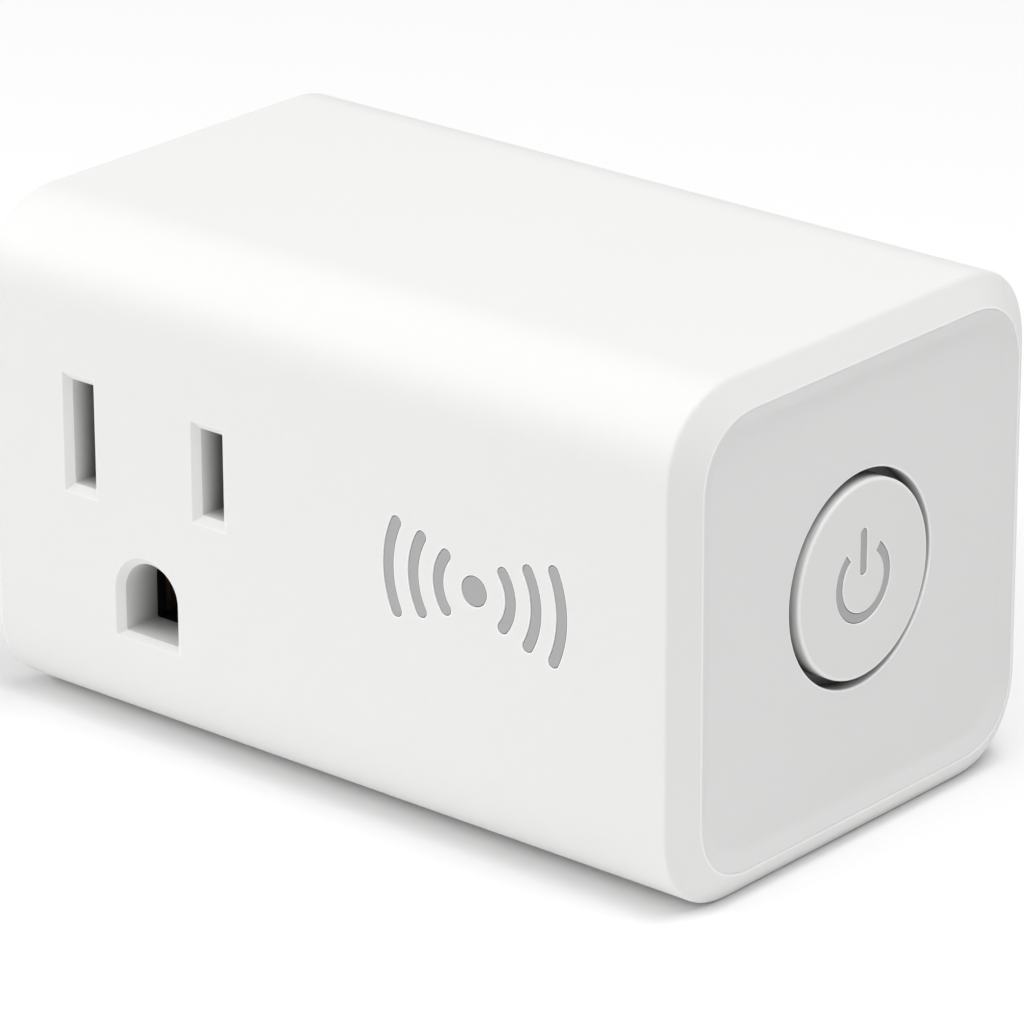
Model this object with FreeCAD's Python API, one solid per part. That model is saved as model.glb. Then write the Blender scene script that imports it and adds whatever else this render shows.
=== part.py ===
import FreeCAD, Part
import math
import os

os.makedirs("parts", exist_ok=True)

# Smart plug: a mains adapter with one receptacle in front, three prongs behind and a
# round power button on its +X end.
# Frame: X along the body, +Y towards the wall, Z up. The origin is the centre of the
# wall face, so the body fills Y from -body_depth to 0. Millimetres.

# ---- body
body_length = 66.5
body_depth = 40.0
body_height = 38.5
corner_radius = 6.2
wall = 1.8
rim_depth = 1.34
rim_width = 2.1
rim_edge_radius = 5.0
rim_edge_flat = 0.12
rim_lip = 0.95
seam_depth = 3.0
seam_gap = 0.06
tongue_length = 1.6
tongue_thickness = 1.0

# ---- clearances between pieces that are pressed, snapped or glued together
seat = 0.04
snap = 0.05
inlay_gap = 0.02

# ---- end panels
recess_depth = 0.55
recess_slope = 1.25
slope_steps = 6
panel_thickness = 1.6

# ---- receptacle and prongs, to the three-pin pattern for 15 A and 125 V
blade_spacing = 12.7
ground_drop = 11.89
outlet_from_end = 16.55
slot_line_z = 3.4
slot_width = 2.1
neutral_slot_height = 8.1
hot_slot_height = 6.65
chamfer_width = 0.6
chamfer_depth = 0.5
ground_slot_width = 5.2
ground_floor_drop = 2.45
ground_arch_rise = 0.7
ground_floor_chamfer = 0.4
tunnel_depth = 3.8
blade_thickness = 1.52
neutral_blade_height = 7.9
hot_blade_height = 6.35
blade_reach = 17.5
blade_tip_taper = 1.6
blade_tip_narrowing = 0.9
blade_hole_radius = 1.6
blade_hole_from_tip = 4.0
blade_tip_chamfer = 0.45
ground_pin_radius = 2.38
ground_pin_root_radius = 2.7
ground_pin_reach = 20.6
blade_inner_end = 10.5
blade_head_length = 0.7
blade_head_overhang = 0.6

# ---- contacts behind the receptacle
contact_thickness = 0.45
contact_tip_room = 0.35
contact_mouth_gap = 1.2
contact_outer_width = 4.3
contact_pinch = 1.1
contact_flare = 2.6
contact_closing = 2.2
contact_straight = 2.5
ground_contact_gap = 4.46
ground_contact_flare = 0.5
ground_contact_shoulder = 0.5
ground_contact_trim = 0.4
carrier_margin = 4.85
carrier_below = 5.2
carrier_above = 5.6
pocket_gap = 0.3
pocket_end_gap = 0.4
blade_carrier_trim = 0.4

# ---- straps
strap_thickness = 0.8
strap_inset = 0.3
neutral_strap_half = 3.0
ground_strap_half = 2.2
inlet_strap_half = 2.0
inlet_strap_reach = 4.0
outlet_strap_back = 2.0
outlet_strap_drop = 1.0
outlet_leg_low = 2.2
outlet_leg_high = 5.2

# ---- button, light guide and switch
button_towards_wall = 0.4
button_above_middle = 0.5
button_diameter = 14.7
button_ring_gap = 0.7
button_proud = 0.25
button_edge_radius = 0.3
button_face_thickness = 1.4
button_side_thickness = 1.15
button_flange_overlap = 0.7
button_flange_thickness = 1.2
running_gap = 0.05
boss_wall = 1.3
boss_length = 2.6
symbol_ring_radius = 2.72
symbol_stroke = 0.76
symbol_opening = 38.0
symbol_bar_bottom = 0.45
symbol_bar_top = 3.95
symbol_sunk = 0.06
symbol_ring_z = -0.1
guide_thickness = 1.3
guide_stem_radius = 1.5
guide_stem_length = 1.8
switch_size = 6.0
switch_height = 3.4
plunger_radius = 1.7
plunger_proud = 0.7
plunger_depth = 1.4
switch_corner = 0.5

# ---- mark on the front: a dot with waves on both sides
mark_from_outlet = 31.4
mark_z = 1.2
mark_dot_radius = 1.15
mark_stroke = 0.95
mark_radii = (3.3, 5.6, 7.9)
mark_half_angles = (38.0, 30.0, 25.0)
mark_depth = 0.4
mark_sunk = 0.03

# ---- boards
main_board_thickness = 1.6
main_board_standoff = 7.2
main_board_corner = 1.2
main_board_end_gap = 4.3
board_edge_gap = 0.6
board_side_gap = 1.2
board_start_gap = 0.1
board_thickness = 1.0
post_radius = 1.7
post_inset = 2.4
control_board_corner = 1.0
control_board_margin = 3.0
control_board_top_gap = 2.4
control_board_foot_gap = 0.7
notch_half = 6.0
notch_depth = 1.75
header_pitch = 2.54
header_pins = 5
header_size = 2.5
header_gap = 0.3
header_pin_half = 0.32
header_pin_drop = 0.96
header_pin_proud = 1.0
module_thickness = 0.8
module_length = 16.0
module_half = 8.0
shield_height = 2.0
shield_length = 11.4
shield_inset = 0.6
shield_side = 0.8
shield_thickness = 0.2
shield_edge_radius = 0.15
led_length = 1.6
led_width = 1.0
led_height = 0.7
led_offset = 1.6

# ---- relay, with its heights measured up from the main board
relay_width = 16.0
relay_length = 20.0
relay_height = 16.0
relay_wall = 0.8
relay_edge_radius = 0.6
relay_lift = 0.1
relay_base_low = 0.3
relay_base_high = 1.9
relay_from_board_start = 1.6
relay_from_board_low = 0.3
yoke_half = 4.6
yoke_thickness = 1.0
yoke_top = 12.9
yoke_end_gap = 0.3
yoke_foot_reach = 1.9
coil_offset = 2.3
coil_radius = 4.2
bobbin_half = 4.5
bobbin_flange = 0.8
bobbin_radius = 2.8
relay_core_radius = 2.0
relay_core_head = 0.48
armature_gap = 0.5
armature_half = 4.5
armature_thickness = 1.0
armature_free_end = -1.5
armature_overhang = 1.2
pivot_radius = 0.3
leaf_half = 2.0
leaf_thickness = 0.25
leaf_start = -8.4
leaf_end = 5.0
rivet_z = -7.0
rivet_radius = 1.2
moving_rivet_drop = 0.35
rivet_travel = 0.95
fixed_post_half = 1.8
fixed_post_z = -8.9
fixed_post_thickness = 0.7
fixed_shelf_end = -5.5
fixed_shelf_thickness = 0.6
fixed_rivet_proud = 0.35

# ---- transformer
core_half = 5.0
core_half_width = 2.4
core_low = 0.85
core_high = 9.8
window_inner = 1.6
window_outer = 3.6
window_low = 2.4
window_high = 8.2
winding_overhang = 1.8
winding_corner = 1.0
pin_base_low = 0.05
pin_base_gap = 0.05
pin_base_half = 4.3
transformer_x_offset = -2.4
transformer_from_top = 4.7

# ---- smaller components
part_row_gap = 0.6
input_can_radius = 4.0
input_can_height = 12.5
output_can_radius = 3.15
output_can_height = 8.0
can_x = 3.6
input_can_from_top = 4.6
output_can_from_top = 12.3
can_edge_radius = 0.6
can_groove_height = 1.6
can_groove_radius = 0.5
can_groove_offset = 0.15
film_width = 5.0
film_length = 10.0
film_height = 11.0
film_lift = 0.1
film_edge_radius = 0.5
film_x = 1.0
film_from_low = 0.3
varistor_radius = 3.7
varistor_half = 1.6
varistor_edge_radius = 0.9
varistor_height = 5.6
varistor_leg_radius = 0.35
varistor_leg_half_pitch = 2.0
varistor_leg_height = 3.0
varistor_x = 3.8
varistor_from_low = 12.6
resistor_radius = 1.45
resistor_lead_radius = 0.35
resistor_leg_radius = 0.28
resistor_lead_length = 9.2
resistor_barrel_length = 6.8
resistor_height = 2.0
resistor_x_offset = -1.8
resistor_low = -4.6
chip_lift = 0.15
chip_leg_thickness = 0.2
chip_leg_half = 0.3
chip_leg_reach = 0.9
rectifier_offset = 4.6
rectifier_size = (4.2, 4.8, 2.4)
rectifier_pins = 2
converter_offset = 12.2
converter_size = (4.0, 5.0, 1.6)
converter_pins = 4

# ---- derived places
half_length = body_length / 2
front_y = -body_depth
middle_y = -body_depth / 2
cavity_depth = body_depth - 2 * wall
cavity_height = body_height - 2 * wall
cavity_radius = corner_radius - wall
rim_edge_depth = body_depth - 2 * rim_width
rim_edge_height = body_height - 2 * rim_width
opening_depth = rim_edge_depth - 2 * rim_edge_flat
opening_height = rim_edge_height - 2 * rim_edge_flat
opening_radius = rim_edge_radius - rim_edge_flat
panel_floor_x = half_length - recess_depth
panel_back_x = panel_floor_x - panel_thickness
button_y = middle_y + button_towards_wall
button_z = button_above_middle
button_hole_radius = button_diameter / 2 + button_ring_gap
button_flange_radius = button_hole_radius + button_flange_overlap
button_pocket_radius = button_diameter / 2 - button_side_thickness
outlet_x = outlet_from_end - half_length
neutral_x = outlet_x - blade_spacing / 2
hot_x = outlet_x + blade_spacing / 2
ground_z = slot_line_z - ground_drop
pad_back_y = front_y + tunnel_depth
contact_mouth_y = pad_back_y + contact_mouth_gap
contact_back_y = front_y + blade_reach + contact_tip_room + contact_thickness
ground_back_y = front_y + ground_pin_reach + contact_tip_room + contact_thickness
board_back_y = -wall - main_board_standoff
board_front_y = board_back_y - main_board_thickness
module_end_y = board_front_y - seat - header_size - header_gap


def box(x0, x1, y0, y1, z0, z1):
    return Part.makeBox(x1 - x0, y1 - y0, z1 - z0, FreeCAD.Vector(x0, y0, z0))


def rodX(x0, x1, y, z, radius):
    start = FreeCAD.Vector(x0, y, z)
    return Part.makeCylinder(radius, x1 - x0, start, FreeCAD.Vector(1, 0, 0))


def rodY(y0, y1, x, z, radius):
    start = FreeCAD.Vector(x, y0, z)
    return Part.makeCylinder(radius, y1 - y0, start, FreeCAD.Vector(0, 1, 0))


def rodZ(z0, z1, x, y, radius):
    start = FreeCAD.Vector(x, y, z0)
    return Part.makeCylinder(radius, z1 - z0, start, FreeCAD.Vector(0, 0, 1))


def fuse(shapes):
    whole = shapes[0].multiFuse(shapes[1:]) if len(shapes) > 1 else shapes[0]
    return whole.removeSplitter()


def save(node, shape):
    shape.exportStep("parts/" + node + ".step")


def roundedSection(x, depth, height, radius):
    """A rounded rectangle across the body at one X, centred on its long axis."""
    y1 = depth / 2
    z1 = height / 2
    corners = [(1, 1, 0), (-1, 1, 90), (-1, -1, 180), (1, -1, 270)]
    arcs = []
    for side_y, side_z, start in corners:
        cy = middle_y + side_y * (y1 - radius)
        cz = side_z * (z1 - radius)
        points = []
        for turn in (0, 45, 90):
            a = math.radians(start + turn)
            points.append(FreeCAD.Vector(x, cy + radius * math.cos(a), cz + radius * math.sin(a)))
        arcs.append(Part.Arc(*points))
    edges = []
    for index, arc in enumerate(arcs):
        following = arcs[(index + 1) % 4]
        edges.append(arc.toShape())
        edges.append(Part.makeLine(arc.EndPoint, following.StartPoint))
    return Part.Wire(edges)


def prismX(x0, x1, depth, height, radius):
    face = Part.Face(roundedSection(x0, depth, height, radius))
    return face.extrude(FreeCAD.Vector(x1 - x0, 0, 0))


def loftX(sections):
    return Part.makeLoft([roundedSection(*section) for section in sections], True, True)


def strokeArc(centre, across, up, out, radius, stroke, start, end, depth):
    """A round-ended stroke along an arc. Angles are measured from across towards up."""
    def at(distance, angle):
        a = math.radians(angle)
        return centre + across * (distance * math.cos(a)) + up * (distance * math.sin(a))
    outer = radius + stroke / 2
    inner = radius - stroke / 2
    mid = (start + end) / 2
    edges = [
        Part.Arc(at(outer, start), at(outer, mid), at(outer, end)).toShape(),
        Part.makeLine(at(outer, end), at(inner, end)),
        Part.Arc(at(inner, end), at(inner, mid), at(inner, start)).toShape(),
        Part.makeLine(at(inner, start), at(outer, start)),
    ]
    bent = Part.Face(Part.Wire(edges)).extrude(out * depth)
    ends = [Part.makeCylinder(stroke / 2, depth, at(radius, a), out) for a in (start, end)]
    return fuse([bent] + ends)


# Outer body
def outerBody():
    rim = (rim_edge_depth, rim_edge_height, rim_edge_radius)
    full = (body_depth, body_height, corner_radius)
    shoulder = half_length - rim_depth
    sections = [(-half_length, *rim), (-shoulder, *full), (shoulder, *full), (half_length, *rim)]
    return loftX(sections)


def cavity(shrink):
    """The inside of the case, drawn in by shrink on all its long sides."""
    end = half_length - rim_lip
    return prismX(-end, end, cavity_depth - 2 * shrink, cavity_height - 2 * shrink,
                  cavity_radius - shrink)


def hollowBody():
    openings = prismX(-half_length - 1, half_length + 1, opening_depth, opening_height,
                      opening_radius)
    return outerBody().cut(cavity(0)).cut(openings)


def rectangleY(y, x, z, width, height):
    x0 = x - width / 2
    z0 = z - height / 2
    corners = [(x0, z0), (x0 + width, z0), (x0 + width, z0 + height), (x0, z0 + height), (x0, z0)]
    return Part.makePolygon([FreeCAD.Vector(cx, y, cz) for cx, cz in corners])


def slotCut(x, height):
    """A blade slot with a bevelled mouth."""
    wide = slot_width + 2 * chamfer_width
    tall = height + 2 * chamfer_width
    mouth = Part.makeLoft([
        rectangleY(front_y, x, slot_line_z, wide, tall),
        rectangleY(front_y + chamfer_depth, x, slot_line_z, slot_width, height),
    ], True, True)
    passage = box(x - slot_width / 2, x + slot_width / 2, front_y, pad_back_y + 1,
                  slot_line_z - height / 2, slot_line_z + height / 2)
    return mouth.fuse(passage)


def groundOutline(y, side, below):
    """The ground opening: an arch over a flat floor, grown by side and below."""
    half = ground_slot_width / 2 + side
    arch_z = ground_z + ground_arch_rise
    floor_z = ground_z - ground_floor_drop - below
    left = FreeCAD.Vector(outlet_x - half, y, arch_z)
    right = FreeCAD.Vector(outlet_x + half, y, arch_z)
    top = FreeCAD.Vector(outlet_x, y, arch_z + half)
    low_left = FreeCAD.Vector(outlet_x - half, y, floor_z)
    low_right = FreeCAD.Vector(outlet_x + half, y, floor_z)
    edges = [
        Part.Arc(right, top, left).toShape(),
        Part.makeLine(left, low_left),
        Part.makeLine(low_left, low_right),
        Part.makeLine(low_right, right),
    ]
    return Part.Wire(edges)


def groundCut():
    mouth = Part.makeLoft([
        groundOutline(front_y, chamfer_width, ground_floor_chamfer),
        groundOutline(front_y + chamfer_depth, 0, 0),
    ], True, True)
    passage = Part.Face(groundOutline(front_y, 0, 0)).extrude(
        FreeCAD.Vector(0, tunnel_depth + 1, 0))
    return mouth.fuse(passage)


def carrierBox(y0, y1, grow):
    half = blade_spacing / 2 + carrier_margin + grow
    return box(outlet_x - half, outlet_x + half, y0, y1,
               ground_z - carrier_below - grow, slot_line_z + carrier_above + grow)


def markStrokes(grow, depth, y):
    """The dot and its waves, as solids that start at y and run into the face."""
    centre = FreeCAD.Vector(outlet_x + mark_from_outlet, y, mark_z)
    across = FreeCAD.Vector(1, 0, 0)
    up = FreeCAD.Vector(0, 0, 1)
    into = FreeCAD.Vector(0, 1, 0)
    solids = [rodY(y, y + depth, centre.x, centre.z, mark_dot_radius + grow)]
    for side in (0, 180):
        for radius, half in zip(mark_radii, mark_half_angles):
            solids.append(strokeArc(centre, across, up, into, radius, mark_stroke + 2 * grow,
                                    side - half, side + half, depth))
    return solids


def housingShell():
    kept = box(-body_length, body_length, front_y - 1, -seam_depth, -body_height, body_height)
    pad = carrierBox(front_y + wall - 0.2, pad_back_y, 0.8)
    shell = hollowBody().common(kept).fuse(pad)
    shell = shell.cut(slotCut(neutral_x, neutral_slot_height))
    shell = shell.cut(slotCut(hot_x, hot_slot_height)).cut(groundCut())
    for pocket in markStrokes(inlay_gap, mark_depth + 1, front_y - 1):
        shell = shell.cut(pocket)
    return shell.removeSplitter()


def frontMark():
    return Part.makeCompound(markStrokes(0, mark_depth - mark_sunk - inlay_gap,
                                         front_y + mark_sunk))


def bladeOpening(x, height, gap):
    half = blade_thickness / 2 + gap
    tall = height / 2 + gap
    return box(x - half, x + half, -blade_inner_end - 1, 1,
               slot_line_z - tall, slot_line_z + tall)


def prongOpenings(gap):
    return [
        bladeOpening(neutral_x, neutral_blade_height, gap),
        bladeOpening(hot_x, hot_blade_height, gap),
        rodY(-blade_inner_end - 1, 1, outlet_x, ground_z, ground_pin_root_radius + gap),
    ]


def mainBoardPlan():
    """The main board's X and Z limits: from beside the prongs to under the button."""
    start = hot_x + carrier_margin + board_start_gap
    end = panel_back_x - boss_length - main_board_end_gap
    top = cavity_height / 2 - board_edge_gap - board_side_gap
    return start, end, -top, top


def boardPosts():
    start, end, low, high = mainBoardPlan()
    posts = []
    for x in (start + post_inset, end - post_inset):
        for z in (low + post_inset, high - post_inset):
            posts.append(rodY(board_back_y + seat, -wall + 0.2, x, z, post_radius))
    return posts


def tongues():
    """Two long strips that follow the case's inner corners and reach past the seam."""
    reach = panel_back_x - 1.0
    core = cavity(snap + tongue_thickness)
    rooted = cavity(0).cut(core).common(
        box(-reach, reach, -seam_depth + seam_gap, 0, -body_height, body_height))
    free = cavity(snap).cut(core).common(
        box(-reach, reach, -seam_depth - tongue_length, -seam_depth + seam_gap,
            -body_height, body_height))
    flat = cavity_height / 2 - cavity_radius
    middle = box(-body_length, body_length, front_y, 0, -flat, flat)
    return [rooted.cut(middle), free.cut(middle)]


def backCover():
    kept = box(-body_length, body_length, -seam_depth + seam_gap, 1, -body_height, body_height)
    cover = fuse([hollowBody().common(kept)] + tongues() + boardPosts())
    for opening in prongOpenings(seat):
        cover = cover.cut(opening)
    return cover


# End panels
def endPanel():
    """A plate with a flange that the rim traps, and a soft step down to a flat floor."""
    edge = (opening_depth - 2 * seat, opening_height - 2 * seat, opening_radius - seat)
    plate = prismX(panel_back_x, half_length, *edge)
    flange = prismX(panel_back_x, half_length - rim_lip - seat, cavity_depth - 2 * snap,
                    cavity_height - 2 * snap, cavity_radius - snap)
    sections = [(half_length + 0.2, edge[0] - 0.1, edge[1] - 0.1, edge[2] - 0.05)]
    for step in range(slope_steps + 1):
        share = step / slope_steps
        inward = recess_slope * share
        drop = recess_depth * (1 - math.cos(math.pi * share)) / 2
        sections.append((half_length - drop, edge[0] - 0.1 - 2 * inward,
                         edge[1] - 0.1 - 2 * inward, edge[2] - 0.05 - 0.6 * inward))
    return fuse([plate, flange]).cut(loftX(sections))


def buttonEndPanel():
    boss_outer = button_flange_radius + running_gap + boss_wall
    boss_start = panel_back_x - boss_length
    boss = rodX(boss_start, panel_back_x + 0.2, button_y, button_z, boss_outer)
    bore = rodX(boss_start - 1, panel_back_x, button_y, button_z,
                button_flange_radius + running_gap)
    hole = rodX(panel_back_x - 1, half_length, button_y, button_z, button_hole_radius)
    posts = []
    for y, z in controlPosts():
        posts.append(rodX(control_board_x + board_thickness + seat, panel_back_x + 0.2, y, z,
                          post_radius))
    return fuse([endPanel(), boss] + posts).cut(bore).cut(hole)


def plainEndPanel():
    turned = endPanel()
    turned.rotate(FreeCAD.Vector(0, middle_y, 0), FreeCAD.Vector(0, 0, 1), 180)
    return turned


# Button and switch
button_face_x = panel_floor_x + button_proud
flange_front_x = panel_back_x - seat
flange_back_x = flange_front_x - button_flange_thickness
pocket_end_x = button_face_x - button_face_thickness
guide_back_x = pocket_end_x - inlay_gap - guide_thickness
stem_end_x = guide_back_x - guide_stem_length
plunger_top_x = stem_end_x - seat
switch_front_x = plunger_top_x - plunger_proud
control_board_x = switch_front_x - switch_height - seat - board_thickness
control_board_y0 = front_y + wall + control_board_top_gap
control_board_y1 = board_front_y - control_board_foot_gap
control_board_half = cavity_height / 2 - board_edge_gap - control_board_margin


def controlPosts():
    return [(y, z)
            for y in (control_board_y0 + post_inset, control_board_y1 - post_inset)
            for z in (-control_board_half + post_inset, control_board_half - post_inset)]


def symbolStrokes(grow, x0, depth):
    ring_z = button_z + symbol_ring_z
    centre = FreeCAD.Vector(x0, button_y, ring_z)
    across = FreeCAD.Vector(0, 1, 0)
    up = FreeCAD.Vector(0, 0, 1)
    out = FreeCAD.Vector(1, 0, 0)
    stroke = symbol_stroke + 2 * grow
    ring = strokeArc(centre, across, up, out, symbol_ring_radius, stroke,
                     90 + symbol_opening, 450 - symbol_opening, depth)
    radius = stroke / 2
    low = ring_z + symbol_bar_bottom + symbol_stroke / 2
    high = ring_z + symbol_bar_top - symbol_stroke / 2
    bar = fuse([
        rodX(x0, x0 + depth, button_y, low, radius),
        rodX(x0, x0 + depth, button_y, high, radius),
        box(x0, x0 + depth, button_y - radius, button_y + radius, low, high),
    ])
    return [ring, bar]


def powerButton():
    cap = rodX(flange_back_x, button_face_x, button_y, button_z, button_diameter / 2)
    rim = [e for e in cap.Edges if abs(e.CenterOfMass.x - button_face_x) < 1e-6]
    cap = cap.makeFillet(button_edge_radius, rim)
    flange = rodX(flange_back_x, flange_front_x, button_y, button_z, button_flange_radius)
    pocket = rodX(flange_back_x - 1, pocket_end_x, button_y, button_z, button_pocket_radius)
    button = fuse([cap, flange]).cut(pocket)
    for stroke in symbolStrokes(inlay_gap, pocket_end_x - 1, button_face_thickness + 2):
        button = button.cut(stroke)
    return button


def buttonLightGuide():
    disc = rodX(guide_back_x, pocket_end_x - inlay_gap, button_y, button_z,
                button_pocket_radius - seat)
    stem = rodX(stem_end_x, guide_back_x + 0.2, button_y, button_z, guide_stem_radius)
    start = pocket_end_x - inlay_gap - 0.2
    strokes = symbolStrokes(0, start, button_face_x - symbol_sunk - start)
    return fuse([disc, stem] + strokes)


def tactSwitchBody():
    half = switch_size / 2
    back = switch_front_x - switch_height
    body = box(back, switch_front_x, button_y - half, button_y + half, button_z - half,
               button_z + half)
    corners = [e for e in body.Edges if abs(e.tangentAt(e.FirstParameter).x) > 0.9]
    body = body.makeChamfer(switch_corner, corners)
    return body.cut(rodX(switch_front_x - plunger_depth - 0.5, switch_front_x + 1, button_y, button_z,
                         plunger_radius + running_gap))


def tactSwitchPlunger():
    return rodX(switch_front_x - plunger_depth, plunger_top_x, button_y, button_z, plunger_radius)


def statusLeds():
    x0 = control_board_x + board_thickness + seat
    lamps = []
    for side in (1, -1):
        z = button_z + side * (switch_size / 2 + led_offset)
        lamps.append(box(x0, x0 + led_height, button_y - led_length / 2, button_y + led_length / 2,
                         z - led_width / 2, z + led_width / 2))
    return Part.makeCompound(lamps)


# Prongs
def flatBlade(x, height):
    """A flat blade with a narrowed tip, a cross hole and a head behind its carrier."""
    half = height / 2
    tip = half - blade_tip_narrowing
    shoulder = blade_reach - blade_tip_taper
    outline = [(-blade_inner_end, -half), (shoulder, -half), (blade_reach, -tip),
               (blade_reach, tip), (shoulder, half), (-blade_inner_end, half),
               (-blade_inner_end, -half)]
    x0 = x - blade_thickness / 2
    points = [FreeCAD.Vector(x0, y, slot_line_z + z) for y, z in outline]
    blade = Part.Face(Part.makePolygon(points)).extrude(FreeCAD.Vector(blade_thickness, 0, 0))
    tip_edges = [e for e in blade.Edges
                 if abs(e.CenterOfMass.y - blade_reach) < 1e-6 and e.Length > blade_thickness * 1.5]
    blade = blade.makeChamfer(blade_tip_chamfer, tip_edges)
    head = box(x0 - blade_head_overhang, x0 + blade_thickness + blade_head_overhang,
               -blade_inner_end, -blade_inner_end + blade_head_length,
               slot_line_z - half, slot_line_z + half)
    hole = rodX(x0 - 1, x0 + blade_thickness + 1, blade_reach - blade_hole_from_tip,
                slot_line_z, blade_hole_radius)
    return fuse([blade, head]).cut(hole)


def groundPin():
    """A round pin on a thicker root that ends flush with the wall face."""
    straight = ground_pin_reach - ground_pin_radius
    root = rodY(-blade_inner_end, 0, outlet_x, ground_z, ground_pin_root_radius)
    shaft = rodY(-blade_inner_end, straight, outlet_x, ground_z, ground_pin_radius)
    nose = Part.makeSphere(ground_pin_radius, FreeCAD.Vector(outlet_x, straight, ground_z))
    head = rodY(-blade_inner_end, -blade_inner_end + blade_head_length, outlet_x, ground_z,
                ground_pin_root_radius + blade_head_overhang)
    return fuse([root, shaft, nose, head])


def bladeCarrier():
    back = -wall - snap
    front = -blade_inner_end + blade_head_length + seat
    floor = -cavity_height / 2 + cavity_radius + snap
    block = carrierBox(front, back, -blade_carrier_trim).common(
        box(-body_length, body_length, front_y, 0, floor, body_height))
    for opening in prongOpenings(seat):
        block = block.cut(opening)
    return block.cut(inletStrapShape(snap))


# Straps
def inletStrapShape(gap):
    """The strip from the hot blade's flank to the back of the main board."""
    y0 = board_back_y + seat
    x0 = hot_x + blade_thickness / 2 + seat
    start, end, low, high = mainBoardPlan()
    half = inlet_strap_half + gap
    return box(x0 - gap, start + inlet_strap_reach + gap, y0 - gap, y0 + strap_thickness + gap,
               slot_line_z - half, slot_line_z + half)


def straightStrap(x, z, start_y, half_x, half_z):
    end_y = -blade_inner_end - seat
    return box(x - half_x, x + half_x, start_y + seat, end_y, z - half_z, z + half_z)


def hotOutletStrap():
    start, end, low, high = mainBoardPlan()
    y0 = contact_back_y + seat
    leg_x = start + strap_inset
    z0 = slot_line_z + outlet_leg_low
    z1 = slot_line_z + outlet_leg_high
    cross = box(hot_x - outlet_strap_back, leg_x + strap_thickness, y0, y0 + strap_thickness,
                slot_line_z - outlet_strap_drop, z1)
    leg = box(leg_x, leg_x + strap_thickness, y0, board_front_y - seat, z0, z1)
    return fuse([cross, leg])


# Receptacle contacts
def springContact(x, z, base_y, height, pinch, outer_width, flare):
    """Two leaves on a base: they close to the pinch and open again at the mouth."""
    mouth_y = contact_mouth_y
    pinch_y = mouth_y + contact_closing
    side = outer_width / 2
    t = contact_thickness
    leaves = []
    for sign in (-1, 1):
        outline = [(side, base_y), (side - t, base_y), (pinch / 2, pinch_y),
                   (flare / 2, mouth_y), (flare / 2 + t, mouth_y),
                   (pinch / 2 + t, pinch_y), (side, base_y - contact_straight),
                   (side, base_y)]
        points = [FreeCAD.Vector(x + sign * px, py, z - height / 2) for px, py in outline]
        leaves.append(Part.Face(Part.makePolygon(points)).extrude(FreeCAD.Vector(0, 0, height)))
    base = box(x - side, x + side, base_y - t, base_y, z - height / 2, z + height / 2)
    return fuse(leaves + [base])


def contactCarrier():
    """The moulded block behind the receptacle, with a pocket for each contact."""
    block = carrierBox(pad_back_y + seat, contact_back_y - contact_thickness - seat, 0)
    reach = block.BoundBox
    wide = contact_outer_width / 2 + pocket_gap
    for x, height in ((neutral_x, neutral_blade_height), (hot_x, hot_blade_height)):
        tall = height / 2 + pocket_end_gap
        block = block.cut(box(x - wide, x + wide, reach.YMin - 1, reach.YMax + 1,
                              slot_line_z - tall, slot_line_z + tall))
    half = groundContactWidth() / 2 + pocket_gap
    tall = ground_slot_width / 2 + pocket_gap
    return block.cut(box(outlet_x - half, outlet_x + half, reach.YMin - 1, reach.YMax + 1,
                         ground_z - tall, ground_z + tall))


def groundContactWidth():
    return ground_contact_gap + 2 * (contact_thickness + ground_contact_shoulder)


# Control board
def wirelessModule():
    x1 = control_board_x - seat
    y1 = module_end_y
    return box(x1 - module_thickness, x1, y1 - module_length, y1, -module_half, module_half)


def shieldCan():
    x1 = control_board_x - seat - module_thickness - inlay_gap
    x0 = x1 - shield_height
    y1 = module_end_y - shield_inset
    y0 = y1 - shield_length
    half = module_half - shield_side
    skin = shield_thickness
    cover = box(x0, x1, y0, y1, -half, half)
    inside = box(x0 + skin, x1 + 1, y0 + skin, y1 - skin, -half + skin, half - skin)
    edges = [e for e in cover.Edges if abs(e.CenterOfMass.x - x0) < 1e-6]
    return cover.makeFillet(shield_edge_radius, edges).cut(inside)


def boardHeader():
    """A pin strip on the main board, with its pins bent through the control board."""
    x1 = control_board_x - seat
    y1 = board_front_y - seat
    half = header_pins * header_pitch / 2
    strip = box(x1 - header_size, x1, y1 - header_size, y1, -half, half)
    pin_y = board_front_y - header_pin_drop
    pins = []
    for index in range(header_pins):
        z = (index - (header_pins - 1) / 2) * header_pitch
        pins.append(box(x1 - header_size / 2, control_board_x + board_thickness + header_pin_proud,
                        pin_y - 2 * header_pin_half, pin_y, z - header_pin_half,
                        z + header_pin_half))
    return fuse([strip] + pins)


def controlBoard():
    board = box(control_board_x, control_board_x + board_thickness, control_board_y0,
                control_board_y1, -control_board_half, control_board_half)
    upright = [e for e in board.Edges if abs(e.tangentAt(e.FirstParameter).x) > 0.9]
    board = board.makeChamfer(control_board_corner, upright)
    notch = box(control_board_x - 1, control_board_x + board_thickness + 1,
                board_front_y - notch_depth, board_front_y, -notch_half, notch_half)
    return board.cut(notch)


# Main board
def mainBoard():
    start, end, low, high = mainBoardPlan()
    board = box(start, end, board_front_y, board_back_y, low, high)
    corners = [e for e in board.Edges if abs(e.tangentAt(e.FirstParameter).y) > 0.9]
    return board.makeChamfer(main_board_corner, corners)


def standing(x0, x1, h0, h1, z0, z1):
    """A box that stands on the main board, with h measured up from its front side."""
    return box(x0, x1, board_front_y - h1, board_front_y - h0, z0, z1)


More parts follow.
